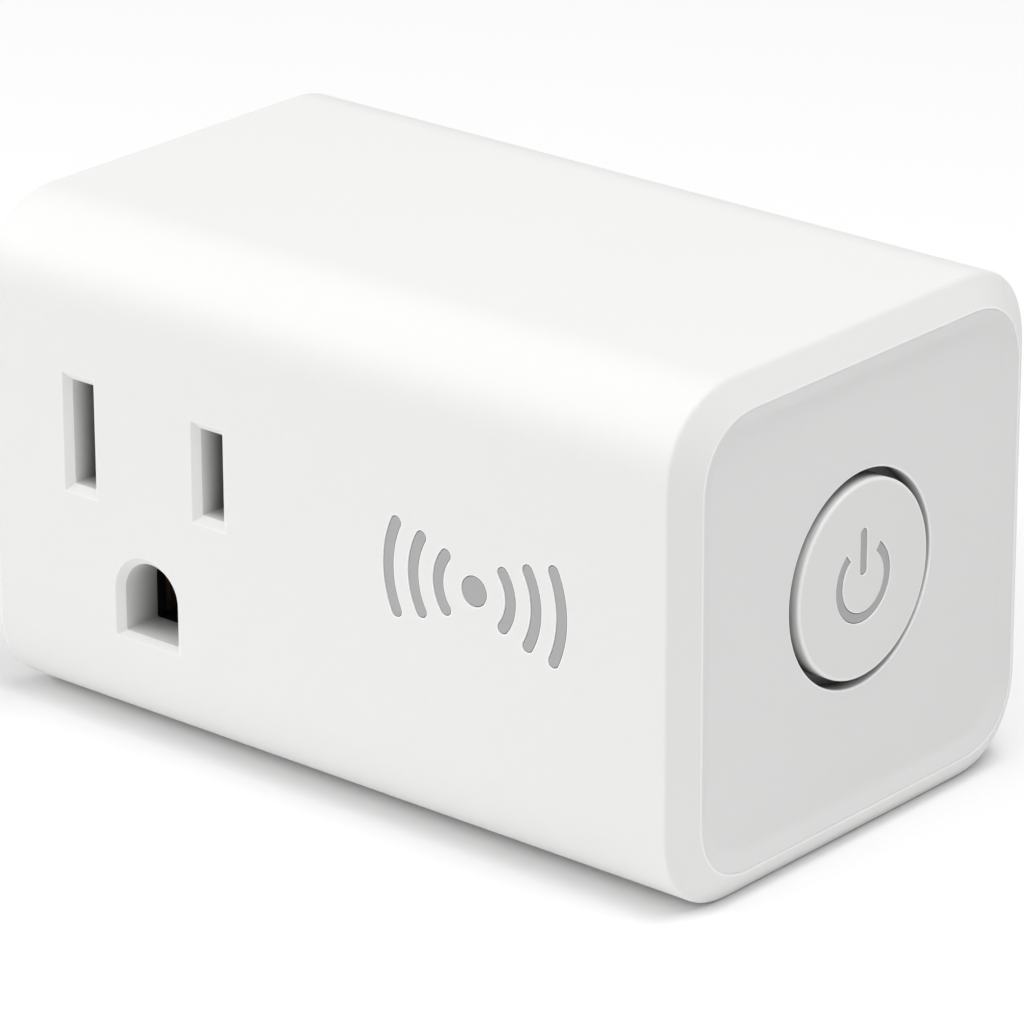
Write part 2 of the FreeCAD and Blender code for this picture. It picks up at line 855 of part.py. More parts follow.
def can(x, z, radius, height):
    """An upright capacitor: a cylinder with a rolled groove and a softened top."""
    base = board_front_y - seat
    body = rodY(base - height, base, x, z, radius)
    top = [e for e in body.Edges if abs(e.CenterOfMass.y - (base - height)) < 1e-6 and
           e.Length > radius]
    body = body.makeFillet(can_edge_radius, top)
    ring = Part.makeTorus(radius + can_groove_offset, can_groove_radius,
                          FreeCAD.Vector(x, base - can_groove_height, z),
                          FreeCAD.Vector(0, 1, 0))
    return body.cut(ring)


def filmCapacitor(x0, low):
    body = standing(x0, x0 + film_width, film_lift, film_height, low, low + film_length)
    upright = [e for e in body.Edges if abs(e.tangentAt(e.FirstParameter).y) > 0.9]
    return body.makeFillet(film_edge_radius, upright)


def varistor(x, z):
    disc = rodZ(z - varistor_half, z + varistor_half, x, board_front_y - varistor_height,
                varistor_radius)
    disc = disc.makeFillet(varistor_edge_radius,
                           [e for e in disc.Edges if e.Length > 2 * varistor_radius])
    legs = [rodY(board_front_y - varistor_leg_height, board_front_y - seat, x + side, z,
                 varistor_leg_radius)
            for side in (-varistor_leg_half_pitch, varistor_leg_half_pitch)]
    return fuse([disc] + legs)


def fuseResistor(x, low):
    """An axial resistor on the back of the main board, on two bent leads."""
    y = board_back_y + resistor_height
    high = low + resistor_lead_length
    middle = (low + high) / 2
    barrel = rodZ(middle - resistor_barrel_length / 2, middle + resistor_barrel_length / 2, x, y,
                  resistor_radius)
    lead = rodZ(low, high, x, y, resistor_lead_radius)
    legs = [rodY(board_back_y + seat, y, x, z, resistor_leg_radius)
            for z in (low + resistor_lead_radius, high - resistor_lead_radius)]
    return fuse([barrel, lead] + legs)


def chip(x, z, size, pins):
    """A flat package on the back of the main board, with a row of legs on each side."""
    width, length, height = size
    base = board_back_y + seat
    body = box(x - width / 2, x + width / 2, base + chip_lift, base + height,
               z - length / 2, z + length / 2)
    thick = chip_leg_thickness
    foot = width / 2 + chip_leg_reach
    knee = width / 2 + thick
    legs = []
    for index in range(pins):
        leg_z = z + (index - (pins - 1) / 2) * length / pins
        z0, z1 = leg_z - chip_leg_half, leg_z + chip_leg_half
        legs.append(box(x - foot, x + foot, base, base + thick, z0, z1))
        legs.append(box(x - knee, x + knee, base + thick / 2, base + height / 2, z0, z1))
    return fuse([body] + legs)


def transformer(x, z):
    """An E core around a wound bobbin. Returns the core, the winding and the pin base."""
    core = standing(x - core_half, x + core_half, core_low, core_high,
                    z - core_half_width, z + core_half_width)
    for side in (-1, 1):
        a, b = sorted((x + side * window_inner, x + side * window_outer))
        core = core.cut(standing(a, b, window_low, window_high, z - core_half, z + core_half))
    side = window_outer - snap
    reach = core_half_width + winding_overhang
    wound = standing(x - side, x + side, window_low + snap, window_high - snap,
                     z - reach, z + reach)
    upright = [e for e in wound.Edges if abs(e.tangentAt(e.FirstParameter).y) > 0.9]
    wound = wound.makeFillet(winding_corner, upright)
    inner = window_inner + snap
    hollow = core_half_width + snap
    wound = wound.cut(standing(x - inner, x + inner, window_low - 1, window_high + 1,
                               z - hollow, z + hollow))
    base = standing(x - core_half, x + core_half, pin_base_low, core_low - pin_base_gap,
                    z - pin_base_half, z + pin_base_half)
    return core, wound, base


# Relay
def relay(x, z):
    """A power relay: coil upright on the board, armature rocking on the yoke's top edge."""
    half_w = relay_width / 2
    half_l = relay_length / 2
    inner_w = half_w - relay_wall
    inner_l = half_l - relay_wall
    cover = standing(x - half_w, x + half_w, relay_lift, relay_height, z - half_l, z + half_l)
    top_y = board_front_y - relay_height
    soft = [e for e in cover.Edges if abs(e.CenterOfMass.y - top_y) < 1e-6]
    cover = cover.makeFillet(relay_edge_radius, soft)
    cover = cover.cut(standing(x - inner_w, x + inner_w, -1, relay_height - relay_wall,
                               z - inner_l, z + inner_l))
    base = standing(x - inner_w + seat, x + inner_w - seat, relay_base_low, relay_base_high,
                    z - inner_l + seat, z + inner_l - seat)

    yoke_low = relay_base_high + inlay_gap
    foot_top = yoke_low + yoke_thickness
    yoke_end = z + inner_l - yoke_end_gap
    pivot_z = yoke_end - yoke_thickness
    armature_low = yoke_top + snap
    pivot_y = board_front_y - armature_low
    coil_z = z + coil_offset
    foot = standing(x - yoke_half, x + yoke_half, yoke_low, foot_top,
                    coil_z - yoke_foot_reach, yoke_end)
    upright = standing(x - yoke_half, x + yoke_half, yoke_low, yoke_top, pivot_z, yoke_end)
    notch = rodX(x - yoke_half - 1, x + yoke_half + 1, pivot_y, pivot_z, pivot_radius + snap)

    bobbin_low = foot_top + inlay_gap
    core_top = yoke_top - armature_gap
    bobbin_high = core_top - relay_core_head - inlay_gap
    stem = rodY(board_front_y - core_top, board_front_y - bobbin_low, x, coil_z,
                relay_core_radius)
    head = rodY(board_front_y - core_top, board_front_y - core_top + relay_core_head, x, coil_z,
                bobbin_radius)
    flange_z = (coil_z - bobbin_half, coil_z + bobbin_half)
    bobbin = fuse([
        standing(x - bobbin_half, x + bobbin_half, bobbin_low, bobbin_low + bobbin_flange,
                 *flange_z),
        standing(x - bobbin_half, x + bobbin_half, bobbin_high - bobbin_flange, bobbin_high,
                 *flange_z),
        rodY(board_front_y - bobbin_high, board_front_y - bobbin_low, x, coil_z, bobbin_radius),
    ]).cut(rodY(board_front_y - yoke_top, board_front_y, x, coil_z,
                relay_core_radius + inlay_gap))
    turns_low = bobbin_low + bobbin_flange + inlay_gap
    turns_high = bobbin_high - bobbin_flange - inlay_gap
    winding = rodY(board_front_y - turns_high, board_front_y - turns_low, x, coil_z, coil_radius)
    winding = winding.cut(rodY(board_front_y - yoke_top, board_front_y, x, coil_z,
                               bobbin_radius + inlay_gap))

    leaf_low = armature_low + armature_thickness
    plate = standing(x - armature_half, x + armature_half, armature_low, leaf_low,
                     z + armature_free_end, pivot_z + armature_overhang)
    bead = rodX(x - armature_half, x + armature_half, pivot_y, pivot_z, pivot_radius)
    leaf = standing(x - leaf_half, x + leaf_half, leaf_low, leaf_low + leaf_thickness,
                    z + leaf_start, z + leaf_end)
    rivet_low = armature_low - moving_rivet_drop
    moving_rivet = rodY(board_front_y - leaf_low - leaf_thickness, board_front_y - rivet_low, x,
                        z + rivet_z, rivet_radius)
    fixed_top = rivet_low - rivet_travel
    shelf_top = fixed_top - fixed_rivet_proud
    post = standing(x - fixed_post_half, x + fixed_post_half, yoke_low, shelf_top,
                    z + fixed_post_z, z + fixed_post_z + fixed_post_thickness)
    shelf = standing(x - fixed_post_half, x + fixed_post_half, shelf_top - fixed_shelf_thickness,
                     shelf_top, z + fixed_post_z, z + fixed_shelf_end)
    fixed_rivet = rodY(board_front_y - fixed_top, board_front_y - shelf_top
                       + fixed_shelf_thickness / 2, x, z + rivet_z, rivet_radius)
    return {
        "relay_cover": cover,
        "relay_base": base,
        "relay_yoke": fuse([foot, upright]).cut(notch),
        "relay_core": fuse([stem, head]),
        "relay_bobbin": bobbin,
        "relay_coil": winding,
        "relay_armature": fuse([plate, bead]),
        "relay_moving_contact": fuse([leaf, moving_rivet]),
        "relay_fixed_contact": fuse([post, shelf, fixed_rivet]),
    }


# Write the nodes
board_start, board_end, board_low, board_high = mainBoardPlan()
relay_x = board_start + relay_from_board_start + relay_width / 2
relay_z = board_low + relay_from_board_low + relay_length / 2
row_x = relay_x + relay_width / 2 + part_row_gap
core, winding, pin_base = transformer(relay_x + transformer_x_offset,
                                      board_high - transformer_from_top)

nodes = {
    "housing_shell": housingShell(),
    "back_cover": backCover(),
    "button_end_panel": buttonEndPanel(),
    "plain_end_panel": plainEndPanel(),
    "front_mark": frontMark(),
    "power_button": powerButton(),
    "button_light_guide": buttonLightGuide(),
    "tact_switch_body": tactSwitchBody(),
    "tact_switch_plunger": tactSwitchPlunger(),
    "status_leds": statusLeds(),
    "control_board": controlBoard(),
    "wireless_module": wirelessModule(),
    "shield_can": shieldCan(),
    "board_header": boardHeader(),
    "neutral_blade": flatBlade(neutral_x, neutral_blade_height),
    "hot_blade": flatBlade(hot_x, hot_blade_height),
    "ground_pin": groundPin(),
    "blade_carrier": bladeCarrier(),
    "neutral_strap": straightStrap(neutral_x, slot_line_z, contact_back_y,
                                   strap_thickness / 2, neutral_strap_half),
    "ground_strap": straightStrap(outlet_x, ground_z, ground_back_y, ground_strap_half,
                                  strap_thickness / 2),
    "hot_inlet_strap": inletStrapShape(0),
    "hot_outlet_strap": hotOutletStrap(),
    "neutral_contact": springContact(neutral_x, slot_line_z, contact_back_y,
                                     neutral_blade_height, contact_pinch,
                                     contact_outer_width, contact_flare),
    "hot_contact": springContact(hot_x, slot_line_z, contact_back_y, hot_blade_height,
                                 contact_pinch, contact_outer_width, contact_flare),
    "ground_contact": springContact(outlet_x, ground_z, ground_back_y,
                                    ground_slot_width - ground_contact_trim,
                                    ground_contact_gap, groundContactWidth(),
                                    ground_contact_gap + ground_contact_flare),
    "contact_carrier": contactCarrier(),
    "main_board": mainBoard(),
    "transformer_core": core,
    "transformer_winding": winding,
    "transformer_base": pin_base,
    "input_capacitor": can(row_x + can_x, board_high - input_can_from_top, input_can_radius,
                           input_can_height),
    "output_capacitor": can(row_x + can_x, board_high - output_can_from_top,
                            output_can_radius, output_can_height),
    "film_capacitor": filmCapacitor(row_x + film_x, board_low + film_from_low),
    "varistor": varistor(row_x + varistor_x, board_low + varistor_from_low),
    "fuse_resistor": fuseResistor(relay_x + resistor_x_offset, resistor_low),
    "rectifier": chip(relay_x + rectifier_offset, 0, rectifier_size, rectifier_pins),
    "converter_chip": chip(relay_x + converter_offset, 0, converter_size, converter_pins),
}
nodes.update(relay(relay_x, relay_z))

for name, shape in nodes.items():
    save(name, shape)
    print(name, round(shape.Volume, 2), shape.isValid(), len(shape.Solids))
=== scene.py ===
import math
import bmesh
import bpy
import numpy as np
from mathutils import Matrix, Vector
from mathutils.geometry import delaunay_2d_cdt


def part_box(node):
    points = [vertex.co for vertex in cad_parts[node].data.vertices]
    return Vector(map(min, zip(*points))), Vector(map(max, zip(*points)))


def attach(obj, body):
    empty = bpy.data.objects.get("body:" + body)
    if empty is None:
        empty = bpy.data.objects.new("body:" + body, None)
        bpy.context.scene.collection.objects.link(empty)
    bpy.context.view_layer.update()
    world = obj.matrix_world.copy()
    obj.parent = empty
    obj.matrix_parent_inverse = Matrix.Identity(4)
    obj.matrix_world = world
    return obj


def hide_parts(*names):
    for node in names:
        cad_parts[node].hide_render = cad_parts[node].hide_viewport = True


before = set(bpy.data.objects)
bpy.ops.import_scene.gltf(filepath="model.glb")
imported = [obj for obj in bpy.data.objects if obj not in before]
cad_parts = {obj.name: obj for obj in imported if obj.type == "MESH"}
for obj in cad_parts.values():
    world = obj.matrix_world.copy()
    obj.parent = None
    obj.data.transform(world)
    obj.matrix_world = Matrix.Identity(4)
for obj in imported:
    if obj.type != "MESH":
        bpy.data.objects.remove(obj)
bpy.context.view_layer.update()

# Shapes are worked out in millimetres and go into their meshes in metres.
mm = 0.001


def spanOf(node):
    low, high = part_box(node)
    return np.array(low) / mm, np.array(high) / mm


shellLow, shellHigh = spanOf("housing_shell")
coverLow, coverHigh = spanOf("back_cover")
halfLength = shellHigh[0]
halfHeight = shellHigh[2]
frontY = shellLow[1]
wallY = coverHigh[1]
middleY = (frontY + wallY) / 2
print("frame loaded:", len(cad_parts), "nodes")


# Mesh tools

def newSkin():
    return {"points": [], "paintedLights": [], "faces": [], "count": 0}


def addPoints(skin, points, paintedLight=0.0):
    # the painted light value is light painted into the base colour: a painted highlight above 0 and
    # painted shade below 0
    start = skin["count"]
    flat = np.asarray(points, float).reshape(-1, 3)
    skin["points"].append(flat)
    skin["paintedLights"].append(np.broadcast_to(paintedLight, points.shape[:-1]).ravel())
    skin["count"] += len(flat)
    return start


def addGrid(skin, grid, loop=True, paintedLight=0.0):
    # quads between neighbouring rows and columns; loop joins the last column to the first
    rows, columns = grid.shape[:2]
    index = np.arange(rows * columns).reshape(rows, columns) + addPoints(skin, grid, paintedLight)
    if loop:
        index = np.hstack([index, index[:, :1]])
    quads = np.stack([index[:-1, :-1], index[:-1, 1:], index[1:, 1:], index[1:, :-1]], axis=-1)
    skin["faces"].extend(quads.reshape(-1, 4).tolist())


def addPlate(skin, rings, place, paintedLight=0.0):
    # a flat sheet: the first ring is its edge, the others are its holes
    flat = np.vstack(rings)
    loops = []
    start = 0
    for ring in rings:
        order = list(range(start, start + len(ring)))
        across, up = ring[:, 0], ring[:, 1]
        turn = np.sum(across * np.roll(up, -1) - np.roll(across, -1) * up)
        loops.append(order if turn > 0 else order[::-1])
        start += len(ring)
    made = delaunay_2d_cdt([Vector(p) for p in flat.tolist()], [], loops, 1, 1e-5)
    offset = addPoints(skin, place(np.array([tuple(p) for p in made[0]])), paintedLight)
    skin["faces"].extend([[i + offset for i in face] for face, source in zip(made[2], made[5])
                          if source == [0]])


def roundedLine(points, reaches, steps=4, paintedHighlights=None):
    # every inner corner becomes a parabola between points one reach away, with a guard
    # point beyond each end that keeps the neighbouring flats flat in the shading; the
    # last column is painted light, which is a corner's painted highlight along its curve and 0
    # elsewhere
    points = np.asarray(points, float)
    t = np.linspace(0, 1, steps + 1)[:, None]
    rows = [points[:1]]
    paintedLights = [0.0]
    paintedHighlights = paintedHighlights or [0.0] * len(reaches)
    for before, corner, after, reach, paintedHighlight in zip(points[:-2], points[1:-1], points[2:],
                                                   reaches, paintedHighlights):
        back = (before - corner) / np.linalg.norm(before[:2] - corner[:2])
        ahead = (after - corner) / np.linalg.norm(after[:2] - corner[:2])
        start = corner + back * reach
        end = corner + ahead * reach
        rows.append((corner + back * reach * 1.3)[None])
        rows.append((1 - t) ** 2 * start + 2 * t * (1 - t) * corner + t ** 2 * end)
        rows.append((corner + ahead * reach * 1.3)[None])
        paintedLights.extend([0.0] + [paintedHighlight] * (steps + 1) + [0.0])
    rows.append(points[-1:])
    paintedLights.append(0.0)
    return np.hstack([np.vstack(rows), np.array(paintedLights)[:, None]])


def paintedShadeLine(line, face, into, reach, dark, step=0.18):
    # the same line with more rows on its long runs, and painted shade that deepens as it goes in,
    # kept off the rows that carry a painted highlight
    rows = [line[:1]]
    for start, end in zip(line[:-1], line[1:]):
        pieces = max(1, math.ceil(np.linalg.norm((end - start)[:2]) / step))
        share = np.arange(1, pieces + 1)[:, None] / pieces
        rows.append(start + (end - start) * share)
    line = np.vstack(rows)
    depth = np.clip((line[:, 1] - face) * into / reach, 0, 1)
    paintedShadeFall = -dark * depth * depth * (3 - 2 * depth)
    line[:, -1] = np.where(line[:, -1] > 0, line[:, -1], paintedShadeFall)
    return line


def inXZ(y):
    # puts flat points (x, z) on the plane at y
    return lambda p: np.stack([p[:, 0], np.full(len(p), y), p[:, 1]], axis=1)


def inYZ(x):
    return lambda p: np.stack([np.full(len(p), x), p[:, 0], p[:, 1]], axis=1)


def sleeveY(skin, outline, line):
    # line holds (growth, y, painted light) rows: each is the outline grown by that much, at that y
    grid = np.stack([inXZ(y)(outline(growth)) for growth, y in line[:, :2]])
    addGrid(skin, grid, paintedLight=line[:, -1:])


def sleeveX(skin, outline, line):
    grid = np.stack([inYZ(x)(outline(growth)) for growth, x in line[:, :2]])
    addGrid(skin, grid, paintedLight=line[:, -1:])


def circle(u, v, radius, count=96):
    # points at even angles round (u, v)
    a = np.linspace(0, 2 * math.pi, count, endpoint=False)
    return np.stack([u + radius * np.cos(a), v + radius * np.sin(a)], axis=1)


def roundBox(u, v, halfU, halfV, radius, steps=5):
    # a rectangle round (u, v) whose corners are quarter circles
    a = np.linspace(0, math.pi / 2, steps)
    turn = np.concatenate([a, a + math.pi / 2, a + math.pi, a + 1.5 * math.pi])
    sideU = np.repeat([1, -1, -1, 1], steps) * (halfU - radius)
    sideV = np.repeat([1, 1, -1, -1], steps) * (halfV - radius)
    return np.stack([u + sideU + radius * np.cos(turn), v + sideV + radius * np.sin(turn)], axis=1)


def strokeArc(u, v, radius, half, start, end, steps=40, square=False):
    # a stroke of half-width half along an arc, with round or square ends; degrees
    a = np.radians(np.linspace(start, end, steps))
    cap = np.linspace(0, math.pi, 11)[1:-1]
    outer = np.stack([np.cos(a), np.sin(a)], axis=1) * (radius + half)
    inner = np.stack([np.cos(a[::-1]), np.sin(a[::-1])], axis=1) * (radius - half)
    if square:
        return np.vstack([outer, inner]) + [u, v]
    middles = [np.array([math.cos(e), math.sin(e)]) * radius for e in (a[-1], a[0])]
    capEnd = middles[0] + half * np.stack([np.cos(a[-1] + cap), np.sin(a[-1] + cap)], axis=1)
    back = a[0] + math.pi + cap
    capStart = middles[1] + half * np.stack([np.cos(back), np.sin(back)], axis=1)
    return np.vstack([outer, capEnd, inner, capStart]) + [u, v]


def spinX(skin, line, y, z, count=128):
    # line holds (radius, x) pairs, turned about the X direction through (y, z)
    sleeveX(skin, lambda radius: circle(y, z, radius, count), line)


def makePiece(name, skin, material, body, nodes, sharp=38):
    mesh = bpy.data.meshes.new(name)
    mesh.from_pydata((np.vstack(skin["points"]) * mm).tolist(), [], skin["faces"])
    # the per-point painted light goes onto the mesh as an attribute that the plastic's colour reads
    paintedLights = mesh.attributes.new("paintedLight", "FLOAT", "POINT")
    paintedLights.data.foreach_set("value", np.concatenate(skin["paintedLights"]).astype(np.float32))
    shape = bmesh.new()
    shape.from_mesh(mesh)
    bmesh.ops.remove_doubles(shape, verts=shape.verts, dist=1.5e-6)
    bmesh.ops.dissolve_degenerate(shape, edges=shape.edges, dist=1e-7)
    bmesh.ops.recalc_face_normals(shape, faces=shape.faces)
    loose = sum(1 for edge in shape.edges if not edge.is_manifold)
    shape.to_mesh(mesh)
    shape.free()
    mesh.shade_smooth()
    mesh.set_sharp_from_angle(angle=math.radians(sharp))
    piece = bpy.data.objects.new(name, mesh)
    bpy.context.scene.collection.objects.link(piece)
    mesh.materials.append(material)
    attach(piece, body)
    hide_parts(*nodes)
    print(name, len(mesh.polygons), "faces,", loose, "open edges")
    return piece


# Shader tools

class Wire:
    def __init__(self, recipe, socket):
        self.recipe = recipe
        self.socket = socket

    def calc(self, operation, first, second=0.0):
        return self.recipe.add("Math", {"operation": operation}, {0: first, 1: second})

    def __add__(self, other):
        return self.calc("ADD", self, other)

    def __radd__(self, other):
        return self.calc("ADD", other, self)

    def __sub__(self, other):
        return self.calc("SUBTRACT", self, other)

    def __rsub__(self, other):
        return self.calc("SUBTRACT", other, self)

    def __mul__(self, other):
        return self.calc("MULTIPLY", self, other)

    def __rmul__(self, other):
        return self.calc("MULTIPLY", other, self)


class Recipe:
    # one material: a Principled shader and the nodes that feed it
    def __init__(self, name, **constants):
        self.material = bpy.data.materials.new(name)
        self.material.use_nodes = True
        self.tree = self.material.node_tree
        self.shader = self.tree.nodes["Principled BSDF"]
        for socket, value in constants.items():
            self.shader.inputs[socket.replace("_", " ")].default_value = value
        self.place = self.add("TexCoord", {}, {}, "Object")

    def add(self, kind, settings, sockets, output=0):
        node = self.tree.nodes.new("ShaderNode" + kind)
        for key, value in settings.items():
            setattr(node, key, value)
        for key, item in sockets.items():
            if isinstance(item, Wire):
                self.tree.links.new(item.socket, node.inputs[key])
            else:
                node.inputs[key].default_value = item
        return Wire(self, node.outputs[output])

    def noise(self, scale, detail=2.0, roughness=0.5, place=None):
        return self.add("TexNoise", {}, {"Vector": place or self.place, "Scale": scale,
                                         "Detail": detail, "Roughness": roughness})

    def stretched(self, x, y, z):
        return self.add("Mapping", {}, {"Vector": self.place, "Scale": (x, y, z)})

    def between(self, factor, dark, light):
        return self.add("Mix", {"data_type": "RGBA"}, {0: factor, 6: dark, 7: light}, 2)

    def feed(self, **sockets):
        for key, wire in sockets.items():
            self.tree.links.new(wire.socket, self.shader.inputs[key.replace("_", " ")])
        return self

    def relief(self, height, distance, strength=1.0):
        bump = self.add("Bump", {}, {"Height": height, "Distance": distance,
                                     "Strength": strength})
        return self.feed(Normal=bump)


def tint(color, share):
    return tuple(min(1.0, c * share) for c in color[:3]) + (1.0,)


def mouldedPlastic(name, look):
    # spark-eroded grain over a slow waviness, with a little change of tone and gloss
    # the painted light attribute is light painted into the base colour: a painted highlight that
    # whitens thin edges and painted shade that darkens deep walls, which shows their shape
    r = Recipe(name, IOR=1.49, Subsurface_Weight=look.get("glow", 0.0),
               Subsurface_Scale=0.0006)
    grain = r.noise(look["grain"], 3.0, 0.62)
    slow = r.noise(look.get("slow", 90), 2.0)
    paintedLight = r.add("Attribute", {"attribute_name": "paintedLight"}, {}, "Fac")
    plain = r.between(slow * 0.7 + grain * 0.3, tint(look["color"], look["dark"]),
                      tint(look["color"], 1.0))
    # painted highlight towards white where the painted light value is above 0, painted shade towards
    # near black where it is below 0
    withPaintedHighlight = r.between(paintedLight, plain, (1, 1, 1, 1))
    r.feed(Base_Color=r.between(paintedLight * -1.0, withPaintedHighlight, tint(look["color"], 0.03)))
    r.feed(Roughness=look["rough"] + (grain - 0.5) * look["roughSpread"])
    return r.relief(grain + slow * 0.25, look["height"]).material


def metal(name, look):
    # drawn or rolled metal: long thin lines across the grain direction, and faint handling marks
    r = Recipe(name, Metallic=1.0)
    lines = r.noise(look["lines"], 4.0, 0.6, r.stretched(*look["grain"]))
    marks = r.noise(look.get("marks", 260), 3.0, 0.6)
    r.feed(Base_Color=r.between(marks, tint(look["color"], look["dark"]), tint(look["color"], 1)))
    r.feed(Roughness=look["rough"] + lines * 0.16 + marks * 0.10)
    return r.relief(lines, look["height"]).material


def boardFinish(name, look):
    # solder mask over glass cloth, with copper tracks that lift it a little
    r = Recipe(name, Coat_Weight=0.4, Coat_Roughness=0.25)
    weave = r.noise(2600, 1.0)
    traces = r.add("TexBrick", {"offset": 0.5}, {"Vector": r.stretched(*look["plane"]),
                                                 "Scale": look["tracks"], "Mortar Size": 0.06},
                   "Fac")
    r.feed(Base_Color=r.between(traces, tint(look["color"], 1.0), tint(look["color"], 1.9)))
    r.feed(Roughness=0.38 + weave * 0.15)
    return r.relief(traces * 0.6 + weave * 0.1, 0.00003).material


def windingFinish(name, look):
    # turns of wire side by side, as ridges along the coil, with painted shade darkening the grooves
    # between turns
    r = Recipe(name, Metallic=look["metal"], Coat_Weight=0.6, Coat_Roughness=0.12)
    turns = r.add("TexWave", {"bands_direction": look["along"]},
                  {"Vector": r.place, "Scale": look["turns"], "Distortion": 0.3}, "Fac")
    speck = r.noise(900, 2.0)
    r.feed(Base_Color=r.between(turns, tint(look["color"], 0.45), tint(look["color"], 1.1)))
    r.feed(Roughness=0.28 + speck * 0.2)
    return r.relief(turns, 0.00006).material


def dippedFinish(name, look):
    # glossy dipped or sleeved parts, with a soft orange-peel surface
    r = Recipe(name, Coat_Weight=0.5, Coat_Roughness=0.1)
    peel = r.noise(look.get("peel", 700), 2.0)
    r.feed(Base_Color=r.between(peel, tint(look["color"], 0.82), tint(look["color"], 1.12)))
    r.feed(Roughness=look["rough"] + peel * 0.15)
    return r.relief(peel, 0.00004).material


whitePlastics = {
    "caseWhite": {"color": (0.865, 0.865, 0.857), "dark": 0.985, "grain": 7000, "rough": 0.52,
                  "roughSpread": 0.14, "height": 0.000012},
    "panelWhite": {"color": (0.80, 0.80, 0.795), "dark": 0.985, "grain": 9000, "rough": 0.42,
                   "roughSpread": 0.10, "height": 0.000006},
    "buttonWhite": {"color": (0.80, 0.80, 0.792), "dark": 0.985, "grain": 9000, "rough": 0.40,
                    "roughSpread": 0.10, "height": 0.000006},
    "markGrey": {"color": (0.43, 0.43, 0.43), "dark": 0.95, "grain": 8000, "rough": 0.45,
                 "roughSpread": 0.1, "height": 0.000008},
    "guideGrey": {"color": (0.43, 0.43, 0.43), "dark": 0.95, "grain": 6000, "rough": 0.35,
                  "roughSpread": 0.1, "height": 0.000006},
    "blackMoulding": {"color": (0.022, 0.022, 0.023), "dark": 0.7, "grain": 5000, "rough": 0.55,
                      "roughSpread": 0.15, "height": 0.000015},
    "chipBlack": {"color": (0.03, 0.03, 0.032), "dark": 0.7, "grain": 4000, "rough": 0.6,
                  "roughSpread": 0.15, "height": 0.000015},
    "relayCase": {"color": (0.03, 0.09, 0.28), "dark": 0.85, "grain": 5000, "rough": 0.35,
                  "roughSpread": 0.1, "height": 0.00001},
    "relayMoulding": {"color": (0.05, 0.05, 0.05), "dark": 0.8, "grain": 5000, "rough": 0.5,
                      "roughSpread": 0.1, "height": 0.00001},
    "ferriteGrey": {"color": (0.06, 0.06, 0.062), "dark": 0.6, "grain": 3000, "rough": 0.7,
                    "roughSpread": 0.2, "height": 0.00003},
    "ledClear": {"color": (0.9, 0.88, 0.72), "dark": 0.9, "grain": 2500, "rough": 0.25,
                 "roughSpread": 0.1, "height": 0.00001},
}
metals = {
    "nickelProng": {"color": (0.79, 0.77, 0.72), "dark": 0.86, "lines": 900,
                    "grain": (6, 0.35, 6), "rough": 0.17, "height": 0.000006},
    "contactBronze": {"color": (0.30, 0.20, 0.12), "dark": 0.7, "lines": 900,
                      "grain": (4, 0.4, 4), "rough": 0.34, "height": 0.00001},
    "copperStrap": {"color": (0.82, 0.42, 0.27), "dark": 0.75, "lines": 900,
                    "grain": (4, 0.4, 4), "rough": 0.26, "height": 0.00001},
    "relaySteel": {"color": (0.66, 0.66, 0.64), "dark": 0.8, "lines": 1200,
                   "grain": (0.4, 4, 4), "rough": 0.30, "height": 0.00001},
    "silverContact": {"color": (0.86, 0.84, 0.80), "dark": 0.85, "lines": 900,
                      "grain": (3, 3, 0.5), "rough": 0.22, "height": 0.000008},
    "tinShield": {"color": (0.72, 0.73, 0.73), "dark": 0.85, "lines": 1500,
                  "grain": (3, 0.4, 3), "rough": 0.26, "height": 0.00001},
}
boards = {
    "mainBoardGreen": {"color": (0.012, 0.10, 0.042), "plane": (1, 1, 1), "tracks": 260},
    "controlBoardGreen": {"color": (0.012, 0.09, 0.06), "plane": (1, 1, 1), "tracks": 420},
}
windings = {
    "coilWire": {"color": (0.62, 0.24, 0.10), "along": "Y", "turns": 1400, "metal": 0.7},
    "windingTape": {"color": (0.80, 0.60, 0.08), "along": "Y", "turns": 160, "metal": 0.0},
}
dips = {
    "canSleeve": {"color": (0.03, 0.035, 0.06), "rough": 0.22},
    "filmBox": {"color": (0.72, 0.50, 0.06), "rough": 0.3},
    "varistorBlue": {"color": (0.03, 0.14, 0.42), "rough": 0.25, "peel": 420},
    "resistorGreen": {"color": (0.12, 0.28, 0.16), "rough": 0.3},
}
materials = {}
for maker, looks in ((mouldedPlastic, whitePlastics), (metal, metals), (boardFinish, boards),
                     (windingFinish, windings), (dippedFinish, dips)):
    for name, look in looks.items():
        materials[name] = maker(name, look)
print("materials made:", len(materials))


# The case: one closed profile of (x, inset, corner size) rows, with painted light as a last column,
# carried along half of the cross-section. The corners are superellipses, a little softer than quarter
# circles.

caseShape = {
    "corner": 7.0, "rimCorner": 5.7, "power": 2.3,
    "rimDepth": 1.34, "rimWidth": 2.1, "ridge": 0.12, "lip": 0.95, "wall": 1.8,
    "seamDepth": 3.0, "seamGap": 0.01, "plateMargin": 2.1, "cornerSteps": 22,
}


def endProfile():
    # from the outer flat over the rim and its ridge, down the lip and into the cavity
    c = caseShape
    rim = halfLength
    deep = rim - c["lip"]
    opening = c["rimWidth"] + c["ridge"]
    points = [
        (rim - c["plateMargin"], 0, c["corner"]),
        (rim - c["rimDepth"], 0, c["corner"]),
        (rim, c["rimWidth"], c["rimCorner"]),
        (rim, opening, c["rimCorner"] - c["ridge"]),
        (deep, opening, c["rimCorner"] - c["ridge"]),
        (deep, c["wall"], c["corner"] - c["wall"]),
        (rim - c["plateMargin"], c["wall"], c["corner"] - c["wall"]),
    ]
    # the two corners of the rim's ridge carry a painted highlight
    return roundedLine(points, (0.26, 0.045, 0.035, 0.05, 0.05), 4, (0, 0.8, 0.8, 0, 0))


